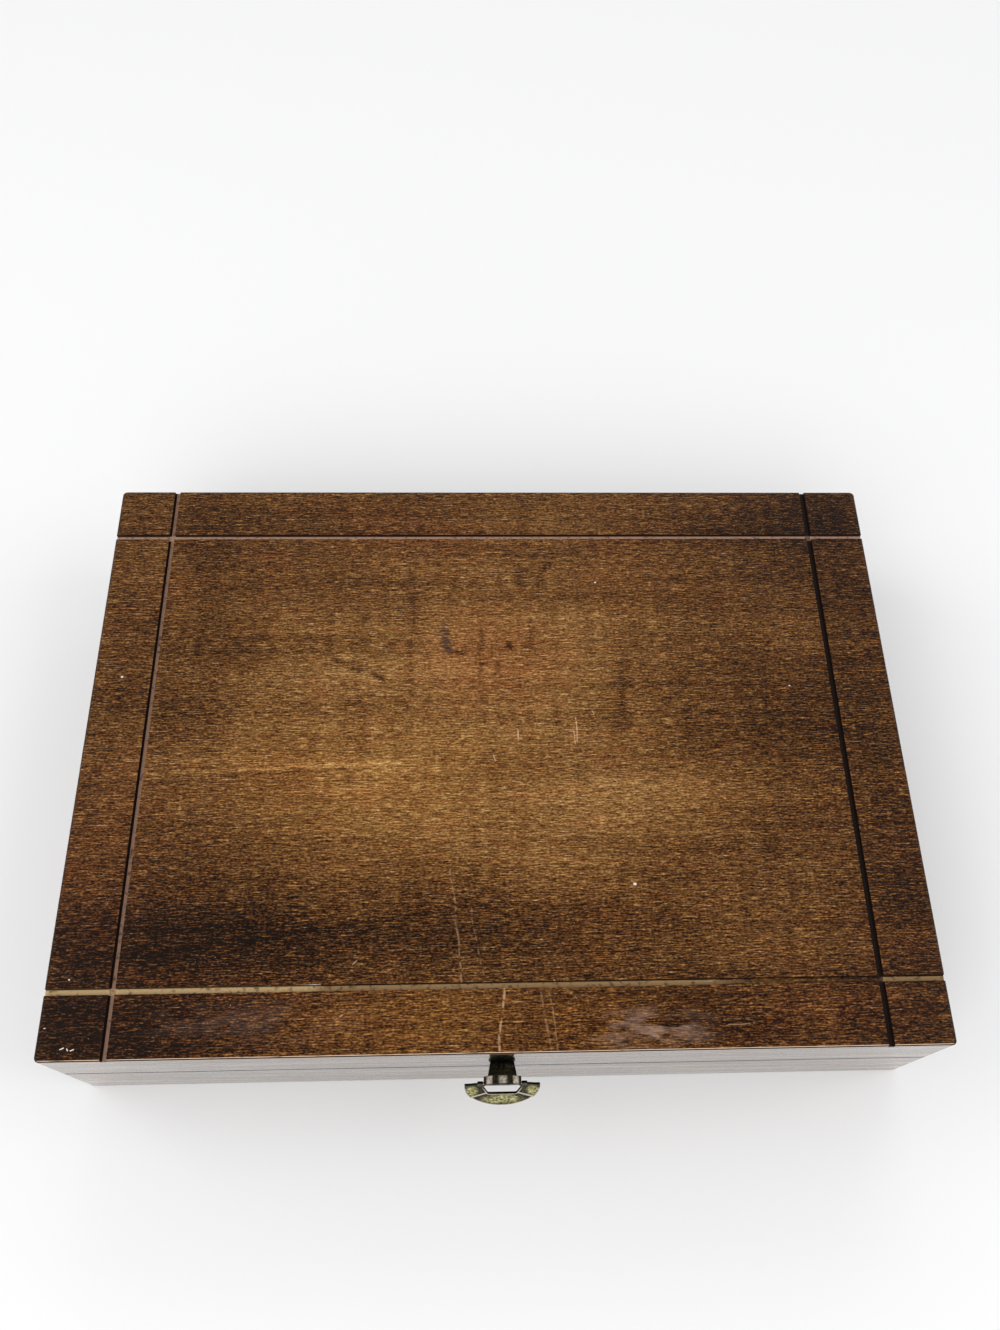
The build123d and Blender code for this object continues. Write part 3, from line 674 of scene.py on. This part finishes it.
def rail_veneer(name, turn):
    """The side boards' veneer, plainer and more weathered than the top."""
    material, graph = new_material(name)
    x, y, z = graph.axes()
    grain, fine, relief, flecks = walnut_grain(graph, turn)
    waves = graph.noise(graph.mapped((8, 240, 240), turn), detail=4.0, roughness=0.65, distortion=0.9)
    cloud = graph.noise(graph.mapped((12, 20, 20), turn), detail=3.0)
    tone = graph.add(
        RAIL_TONE,
        graph.mul(grain, 0.8),
        graph.mul(fine, 0.30),
        graph.mul(graph.sub(waves, 0.5), 1.0),
        graph.mul(graph.sub(cloud, 0.5), 0.24),
    )
    colour = graph.ramp(tone, WALNUT_TONES)
    colour = graph.mix(WEATHERED_SHARE, colour, WEATHERED)
    darkening = seam_dirt(graph, x, y, z, flecks)
    colour = graph.mix(darkening, colour, SEAM_DIRT)
    # painted shade round the drop pull, where the pull hides the floor's reflection in the varnish
    colour = graph.mix(pull_shade(graph, cloud), colour, PULL_SHADE)
    foot = graph.mul(graph.span(z, 0.6 * MM, 1.4 * MM, 1.0, 0.0), graph.span(flecks, 0.42, 0.6))
    colour = graph.mix(foot, colour, SCUFFED_FOOT)
    roughness = graph.add(graph.span(waves, 0.36, 0.64, 0.15, 0.58), graph.mul(darkening, 0.3))
    normal = graph.bump(graph.add(relief, graph.mul(waves, 4.0)), 0.10, 0.9)
    graph.surface(Base_Color=colour, Roughness=roughness, Normal=normal, **SIDE_VARNISH)
    return material


paint(["lid_top_panel"], top_veneer())
long_veneer = rail_veneer("walnut_long_boards", LONG_BOARD_TURN)
short_veneer = rail_veneer("walnut_short_boards", SHORT_BOARD_TURN)
paint([f"{half}_{side}_rail" for half in ("base", "lid") for side in ("front", "back")], long_veneer)
paint([f"{half}_{side}_rail" for half in ("base", "lid") for side in ("left", "right")], short_veneer)


def paint_panel_edges():
    """The top board's upright edges carry the same veneer as the side boards under them."""
    mesh = frame["nodes"]["lid_top_panel"].data
    mesh.materials.append(long_veneer)
    mesh.materials.append(short_veneer)
    for face in mesh.polygons:
        if abs(face.normal.z) < 0.3 and HALF_DEPTH - abs(face.center.y) < 0.05 * MM:
            face.material_index = 1
        elif abs(face.normal.z) < 0.3 and HALF_WIDTH - abs(face.center.x) < 0.05 * MM:
            face.material_index = 2


paint_panel_edges()

# ---------------------------------------------------------------- bottom board


def hardboard():
    """Brown pressed fibreboard under the case."""
    material, graph = new_material("hardboard")
    fibres = graph.noise(graph.mapped((420, 420, 420)), detail=4.0, roughness=0.7, distortion=0.8)
    cloud = graph.noise(graph.mapped((14, 14, 14)), detail=2.0)
    tone = graph.add(graph.mul(fibres, 0.7), graph.mul(cloud, 0.3))
    browns = [(0.25, linear(74, 50, 32)), (0.5, linear(112, 80, 52)), (0.75, linear(146, 110, 74))]
    colour = graph.ramp(tone, browns)
    graph.surface(Base_Color=colour, Roughness=0.8, Normal=graph.bump(fibres, 0.08, 0.6))
    return material


paint(["base_bottom_panel"], hardboard())

# ---------------------------------------------------------------- metals
BAIL_LEAN = math.radians(23.0)
BAIL_THICKNESS = 1.2
PANEL_RECESS = 0.25
bail_joint = next(joint for joint in frame["joints"] if joint["name"] == "bail_pivot")
BAIL_PIVOT = Vector(bail_joint["pos_m"])
BAIL_NORMAL = Vector((0, -math.cos(BAIL_LEAN), math.sin(BAIL_LEAN)))
BAIL_DOWN = Vector((0, -math.sin(BAIL_LEAN), -math.cos(BAIL_LEAN)))
# near black, the painted shade where the pull's neck meets the wood
NECK_ROOT_SHADE = linear(12, 11, 9)
BRASS_DARK = linear(26, 25, 19)
BRASS_BROWN = linear(62, 58, 42)
BRASS_GOLD = linear(158, 152, 92)
BRASS_BRIGHT = linear(216, 204, 186)
PANEL_DARK = linear(40, 38, 20)
PANEL_BRIGHT = linear(206, 200, 150)
# the rubbed places in the bail's plane: centre across, centre below the pin, half sizes
BAIL_BAND = (0.0, 12.6, 11.0, 4.6)
BAIL_WING = (13.6, 5.4, 3.6, 5.0)
# how far out from the wood the boss's bright sides begin and end, and where the painted shade on the
# neck's root ends
BOSS_BACK = (7.2, 7.8)
BOSS_FRONT = (10.2, 11.0)
NECK_ROOT = (1.6, 3.2)


def rubbed_place(graph, across, below, place):
    """A soft ellipse in the bail's plane, 1 over its middle."""
    centre_across, centre_below, half_across, half_below = [value * MM for value in place]
    reach = graph.node("ShaderNodeCombineXYZ", {
        0: graph.math("DIVIDE", graph.sub(across, centre_across), half_across),
        1: graph.math("DIVIDE", graph.sub(below, centre_below), half_below),
    }).outputs[0]
    return graph.span(graph.vector("LENGTH", reach), 0.45, 1.05, 1.0, 0.0)


def worn_bail(graph, x, pits, cloud, patina):
    """The bail's patina, golden where its sunk panels are rubbed and bright on the rims round them."""
    away = graph.vector("SUBTRACT", graph.place, tuple(BAIL_PIVOT))
    height = graph.vector("DOT_PRODUCT", away, tuple(BAIL_NORMAL))
    below = graph.vector("DOT_PRODUCT", away, tuple(BAIL_DOWN))
    across = graph.math("ABSOLUTE", x)
    face = BAIL_THICKNESS / 2
    deep = (face - PANEL_RECESS * 0.45) * MM
    shallow = (face - PANEL_RECESS * 0.2) * MM
    sunk = graph.mul(graph.span(height, deep, shallow, 1.0, 0.0), graph.span(height, 0.0, 0.1 * MM))
    dents = graph.cells(graph.mapped((850, 850, 850)))
    lustre = graph.add(graph.mul(dents, 0.8), graph.mul(cloud, 0.5))
    gold = graph.ramp(lustre, [(0.34, PANEL_DARK), (0.58, BRASS_GOLD), (0.88, PANEL_BRIGHT)])
    rubbed = graph.either(
        rubbed_place(graph, across, below, BAIL_BAND), rubbed_place(graph, across, below, BAIL_WING)
    )
    rubbed = graph.mul(rubbed, sunk, graph.span(pits, 0.34, 0.50, 0.35, 1.0))
    rim = graph.mul(
        graph.span(height, (face - 0.08) * MM, (face - 0.02) * MM),
        graph.span(cloud, 0.3, 0.55, 0.5, 1.0),
        graph.span(below, 2.0 * MM, 4.5 * MM, 0.15, 1.0),
    )
    colour = graph.mix(rubbed, patina, gold)
    colour = graph.mix(graph.mul(rim, 0.8), colour, BRASS_BRIGHT)
    return colour, graph.either(graph.mul(rubbed, 0.5), rim)


def worn_boss(graph, x, y, z, pits, patina):
    """The casting's patina, bright on the boss's side facets, with near-black painted shade where its neck
    meets the wood.
    """
    up = graph.sub(z, PULL_Z)
    turn = graph.math("ARCTAN2", x, up)
    facet = graph.math("PINGPONG", graph.add(turn, 2 * math.pi), math.radians(22.5))
    on_boss = graph.mul(
        graph.span(y, FRONT_Y - BOSS_BACK[1] * MM, FRONT_Y - BOSS_BACK[0] * MM, 1.0, 0.0),
        graph.span(y, FRONT_Y - BOSS_FRONT[1] * MM, FRONT_Y - BOSS_FRONT[0] * MM),
    )
    from_axis = graph.vector("LENGTH", graph.node("ShaderNodeCombineXYZ", {0: x, 1: up}).outputs[0])
    at_side = graph.span(from_axis, BOSS_HALF - 0.6 * MM, BOSS_HALF - 0.2 * MM)
    mid_facet = graph.span(facet, math.radians(7.0), math.radians(16.0), 1.0, 0.0)
    bright = graph.mul(on_boss, at_side, mid_facet)
    bright = graph.mul(bright, graph.span(pits, 0.40, 0.58, 0.55, 1.0))
    colour = graph.mix(bright, patina, BRASS_BRIGHT)
    # painted shade on the neck's root and on the backplate
    root_shade = graph.span(y, FRONT_Y - NECK_ROOT[1] * MM, FRONT_Y - NECK_ROOT[0] * MM, 0.0, 0.85)
    return graph.mix(root_shade, colour, NECK_ROOT_SHADE), bright


def antique_brass(name, is_bail):
    """Brass darkened almost black and rubbed bright on its high places."""
    material, graph = new_material(name)
    x, y, z = graph.axes()
    pits = graph.noise(graph.mapped((900, 900, 900)), detail=3.0, roughness=0.65)
    cloud = graph.noise(graph.mapped((260, 260, 260)), detail=2.0)
    worn = graph.add(graph.mul(pits, 0.6), graph.mul(cloud, 0.4))
    patina = graph.ramp(worn, [(0.42, BRASS_DARK), (0.60, BRASS_BROWN), (0.78, BRASS_GOLD)])
    if is_bail:
        colour, bright = worn_bail(graph, x, pits, cloud, patina)
    else:
        colour, bright = worn_boss(graph, x, y, z, pits, patina)
    roughness = graph.add(graph.span(pits, 0.35, 0.65, 0.34, 0.55), graph.mul(bright, -0.06))
    normal = graph.bump(pits, 0.04, 0.5)
    graph.surface(Base_Color=colour, Metallic=1.0, Roughness=roughness, Normal=normal)
    return material


def plain_metal(name, dark, mid, light, roughness):
    """Rolled or turned metal with fine scuffs and a little tarnish."""
    material, graph = new_material(name)
    tarnish = graph.noise(graph.mapped((180, 180, 180)), detail=4.0, roughness=0.65)
    scuffs = graph.noise(graph.mapped((60, 2400, 2400)), detail=2.0)
    tone = graph.add(graph.mul(tarnish, 0.75), graph.mul(scuffs, 0.25))
    colour = graph.ramp(tone, [(0.32, dark), (0.5, mid), (0.68, light)])
    rough = graph.span(tarnish, 0.3, 0.7, roughness - 0.08, roughness + 0.14)
    graph.surface(Base_Color=colour, Metallic=1.0, Roughness=rough, Normal=graph.bump(scuffs, 0.02, 0.4))
    return material


HINGE_BRASS = (linear(118, 92, 44), linear(186, 152, 84), linear(214, 186, 122))
STEEL = (linear(120, 118, 114), linear(170, 169, 166), linear(204, 203, 200))
hinge_brass = plain_metal("hinge_brass", *HINGE_BRASS, 0.30)
steel = plain_metal("steel", *STEEL, 0.32)
paint([f"hinge_{half}_leaf_{side}" for half in ("base", "lid") for side in ("left", "right")], hinge_brass)
paint(["hinge_base_screws", "hinge_lid_screws"], hinge_brass)
paint(["hinge_pin_left", "hinge_pin_right", "pull_screw"], steel)
paint(["pull_backplate", "pull_pin", "pull_post"], antique_brass("antique_brass_casting", is_bail=False))

# ---------------------------------------------------------------- mesh helper


def as_piece(name, mesh, body, material):
    """A finished mesh as a shaded piece that rides on a body."""
    mesh.materials.clear()
    mesh.materials.append(material)
    mesh.shade_smooth()
    piece = bpy.data.objects.new(name, mesh)
    bpy.context.scene.collection.objects.link(piece)
    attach(piece, body)
    return piece


def remeshed(node, voxel, smooth_steps=0):
    """A CAD node's shape as an even fine mesh with its edges just eased."""
    mesh = frame["nodes"][node].data.copy()
    work = bmesh.new()
    work.from_mesh(mesh)
    bmesh.ops.remove_doubles(work, verts=work.verts, dist=0.001 * MM)
    work.to_mesh(mesh)
    work.free()
    holder = bpy.data.objects.new("holder", mesh)
    bpy.context.scene.collection.objects.link(holder)
    remesh = holder.modifiers.new("remesh", "REMESH")
    remesh.mode = "VOXEL"
    remesh.voxel_size = voxel * MM
    if smooth_steps:
        smooth = holder.modifiers.new("smooth", "SMOOTH")
        smooth.factor = 0.5
        smooth.iterations = smooth_steps
    shown = holder.evaluated_get(bpy.context.evaluated_depsgraph_get())
    result = bpy.data.meshes.new_from_object(shown)
    bpy.data.objects.remove(holder)
    return result


# ---------------------------------------------------------------- bail with hammered panels
BAIL_VOXEL = 0.16
DENT_SPACING = 1.15
DENT_DEPTH = 0.13
DENT_SHARPNESS = 1.6
FLOOR_MARGIN = 0.09


def hammered_bail():
    """The half-moon bail, its three sunk panels dimpled as if by a small hammer."""
    mesh = remeshed("pull_bail", BAIL_VOXEL)
    floor = (BAIL_THICKNESS / 2 - PANEL_RECESS) * MM
    for vertex in mesh.vertices:
        height = (vertex.co - BAIL_PIVOT).dot(BAIL_NORMAL)
        if 0 < height < floor + FLOOR_MARGIN * MM:
            nearest = noise.voronoi(vertex.co / (DENT_SPACING * MM))[0]
            bowl = min(nearest[0] * DENT_SHARPNESS, 1.0) ** 2
            vertex.co += BAIL_NORMAL * (bowl - 0.5) * DENT_DEPTH * MM
    material = antique_brass("antique_brass_bail", is_bail=True)
    piece = as_piece("bail_casting", mesh, "bail", material)
    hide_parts("pull_bail")


hammered_bail()

# ---------------------------------------------------------------- cloth


def flannel(name, tint):
    """Brown napped cloth that guards silver from tarnish."""
    material, graph = new_material(name)
    nap = graph.noise(graph.mapped((700, 700, 700)), detail=3.0, roughness=0.7)
    weave = graph.noise(graph.mapped((1800, 1800, 1800)), detail=1.0)
    brushed = graph.noise(graph.mapped((22, 22, 22)), detail=3.0, distortion=0.8)
    tone = graph.add(graph.mul(nap, 0.50), graph.mul(weave, 0.25), graph.mul(brushed, 0.25))
    dark, mid, light = [linear(*[channel * share for channel in tint]) for share in (0.66, 1.0, 1.28)]
    colour = graph.ramp(tone, [(0.34, dark), (0.5, mid), (0.66, light)])
    graph.surface(
        Base_Color=colour, Roughness=0.95, Normal=graph.bump(graph.add(nap, weave), 0.12, 0.6),
        Sheen_Weight=0.35, Sheen_Roughness=0.5, IOR=1.3,
    )
    return material


board_cloth = flannel("flannel_boards", (96, 70, 50))
rack_cloth = flannel("flannel_racks", (88, 64, 46))


CLOTH_EDGE = 1.5 * MM
CLOTH_LINE_GAP = 8 * MM
EDGE_SHARES = (0.0, 0.06, 0.22, 0.5, 0.8, 1.15)
WRINKLE = 0.08 * MM
WRINKLES_PER_METRE = 45
CLOTH_THINNEST = 0.05 * MM


def edge_lines(length):
    """Grid lines across a board: close together at its rounded edges, wide apart between them."""
    near = [CLOTH_EDGE * share for share in EDGE_SHARES]
    count = max(6, round(length / CLOTH_LINE_GAP))
    inner_low, inner_high = near[-1], length - near[-1]
    middle = [inner_low + (inner_high - inner_low) * index / count for index in range(1, count)]
    return near + middle + [length - value for value in reversed(near)]


def rounded_drop(distance):
    """How far a rounded edge lies under the face at a distance from the side."""
    if distance >= CLOTH_EDGE:
        return 0.0
    return CLOTH_EDGE * (1 - math.sqrt(1 - (1 - distance / CLOTH_EDGE) ** 2))


def slab_faces(rows, columns):
    """The faces of a closed slab: a grid of points, the same grid once more behind it, and the rim."""
    back = rows * columns

    def at(row, column):
        return row * columns + column

    faces = []
    for row in range(rows - 1):
        for column in range(columns - 1):
            quad = (at(row, column), at(row + 1, column), at(row + 1, column + 1), at(row, column + 1))
            faces.append(quad)
            faces.append(tuple(back + index for index in reversed(quad)))
    rim = [at(row, 0) for row in range(rows)]
    rim += [at(rows - 1, column) for column in range(1, columns)]
    rim += [at(row, columns - 1) for row in range(rows - 2, -1, -1)]
    rim += [at(0, column) for column in range(columns - 2, 0, -1)]
    for start, end in zip(rim, rim[1:] + rim[:1]):
        faces.append((end, start, back + start, back + end))
    return faces


def padded_board(node, body, direction, crown=0.35, pull_in=0.5):
    """A board wrapped in cloth over thin wadding, its face crowned and its sides drawn in a little.

    Direction is 1 where the cloth's face looks up its thin axis, and -1 where it looks down it.
    """
    low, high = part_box(node)
    size = high - low
    thin = min(range(3), key=lambda axis: size[axis])
    first, second = [axis for axis in range(3) if axis != thin]
    lines = [edge_lines(size[axis]) for axis in (first, second)]

    def point(a, b, height):
        u = 2 * a / size[first] - 1
        v = 2 * b / size[second] - 1
        place = [0.0, 0.0, 0.0]
        place[first] = low[first] + a - pull_in * MM * u * (1 - v * v)
        place[second] = low[second] + b - pull_in * MM * v * (1 - u * u)
        place[thin] = (low[thin] + height) if direction > 0 else (high[thin] - height)
        return place

    def height_at(a, b):
        u = 2 * a / size[first] - 1
        v = 2 * b / size[second] - 1
        lost = rounded_drop(min(a, size[first] - a)) + rounded_drop(min(b, size[second] - b))
        lost += crown * MM * (1 - (1 - u ** 4) * (1 - v ** 4))
        wrinkle = noise.noise(Vector((a, b, 0)) * WRINKLES_PER_METRE) * WRINKLE
        return max(size[thin] - lost - WRINKLE + wrinkle, CLOTH_THINNEST)

    points = [point(a, b, height_at(a, b)) for a in lines[0] for b in lines[1]]
    points += [point(a, b, 0.0) for a in lines[0] for b in lines[1]]
    mesh = bpy.data.meshes.new(node + "_cloth")
    mesh.from_pydata(points, [], slab_faces(len(lines[0]), len(lines[1])))
    work = bmesh.new()
    work.from_mesh(mesh)
    bmesh.ops.recalc_face_normals(work, faces=work.faces)
    work.to_mesh(mesh)
    work.free()
    piece = as_piece(node + "_cloth", mesh, body, board_cloth)
    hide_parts(node)


padded_board("base_floor_pad", "base", 1)
padded_board("lid_ceiling_pad", "lid", -1)
for half in ("base", "lid"):
    for side, inward in (("front", 1), ("back", -1), ("left", 1), ("right", -1)):
        padded_board(f"{half}_lining_{side}", half, inward, crown=0.2, pull_in=0.3)


BAR_VOXEL = 1.0


def cloth_bar(node, body):
    """A wooden bar flocked with the lining cloth, so every edge is softly rounded."""
    mesh = remeshed(node, BAR_VOXEL, smooth_steps=3)
    low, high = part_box(node)
    for vertex in mesh.vertices:
        for axis in range(3):
            vertex.co[axis] = min(max(vertex.co[axis], low[axis]), high[axis])
    piece = as_piece(node + "_cloth", mesh, body, rack_cloth)
    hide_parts(node)


for rack in ("flatware_rack_front", "flatware_rack_rear", "serving_divider"):
    cloth_bar(rack, "base")
cloth_bar("knife_handle_bar", "lid")
cloth_bar("knife_blade_sleeve", "lid")

# ---------------------------------------------------------------- stage and light
FLOOR_COLOUR = linear(241, 241, 242)
FLOOR_REACH = 60.0


def add_stage():
    """A plain pale floor."""
    mesh = bpy.data.meshes.new("floor")
    corners = [(-1, -1), (1, -1), (1, 1), (-1, 1)]
    mesh.from_pydata([(x * FLOOR_REACH, y * FLOOR_REACH, 0) for x, y in corners], [], [(0, 1, 2, 3)])
    material, graph = new_material("floor")
    graph.surface(Base_Color=FLOOR_COLOUR, Roughness=0.9, Specular_IOR_Level=0.2)
    mesh.materials.append(material)
    floor = bpy.data.objects.new("floor", mesh)
    bpy.context.scene.collection.objects.link(floor)


def add_area(name, place, size, watts):
    """A soft lamp that faces the case."""
    data = bpy.data.lights.new(name, "AREA")
    data.shape = "RECTANGLE"
    data.size, data.size_y = size
    data.energy = watts
    lamp = bpy.data.objects.new(name, data)
    lamp.location = place
    lamp.rotation_euler = (-Vector(place)).to_track_quat("-Z", "Y").to_euler()
    bpy.context.scene.collection.objects.link(lamp)


SKY_LOW = 0.85
SKY_HIGH = 0.30
SKY_FADE = (0.42, 0.85)
# name, place, size, watts
LAMPS = [
    ("key", (-0.5, -1.3, 1.5), (1.8, 1.4), 18.6),
    ("right", (1.5, -0.2, 1.4), (1.2, 1.4), 10.2),
    ("left", (-1.5, 0.3, 1.4), (1.2, 1.4), 9.0),
    ("back", (0.3, 1.7, 1.3), (1.8, 1.0), 6.4),
]


def add_light():
    """A bright horizon under a dimmer ceiling, with large soft lamps all round."""
    world = bpy.data.worlds.new("world")
    world.use_nodes = True
    graph = Graph(world.node_tree)
    direction = graph.node("ShaderNodeTexCoord").outputs["Generated"]
    strength = graph.span(graph.axes(direction)[2], *SKY_FADE, SKY_LOW, SKY_HIGH)
    background = graph.node("ShaderNodeBackground", {"Color": (1, 1, 1, 1), "Strength": strength})
    output = graph.node("ShaderNodeOutputWorld")
    graph.tree.links.new(background.outputs[0], output.inputs["Surface"])
    bpy.context.scene.world = world
    for lamp in LAMPS:
        add_area(*lamp)


add_stage()
add_light()
bpy.context.scene.view_settings.view_transform = "Standard"
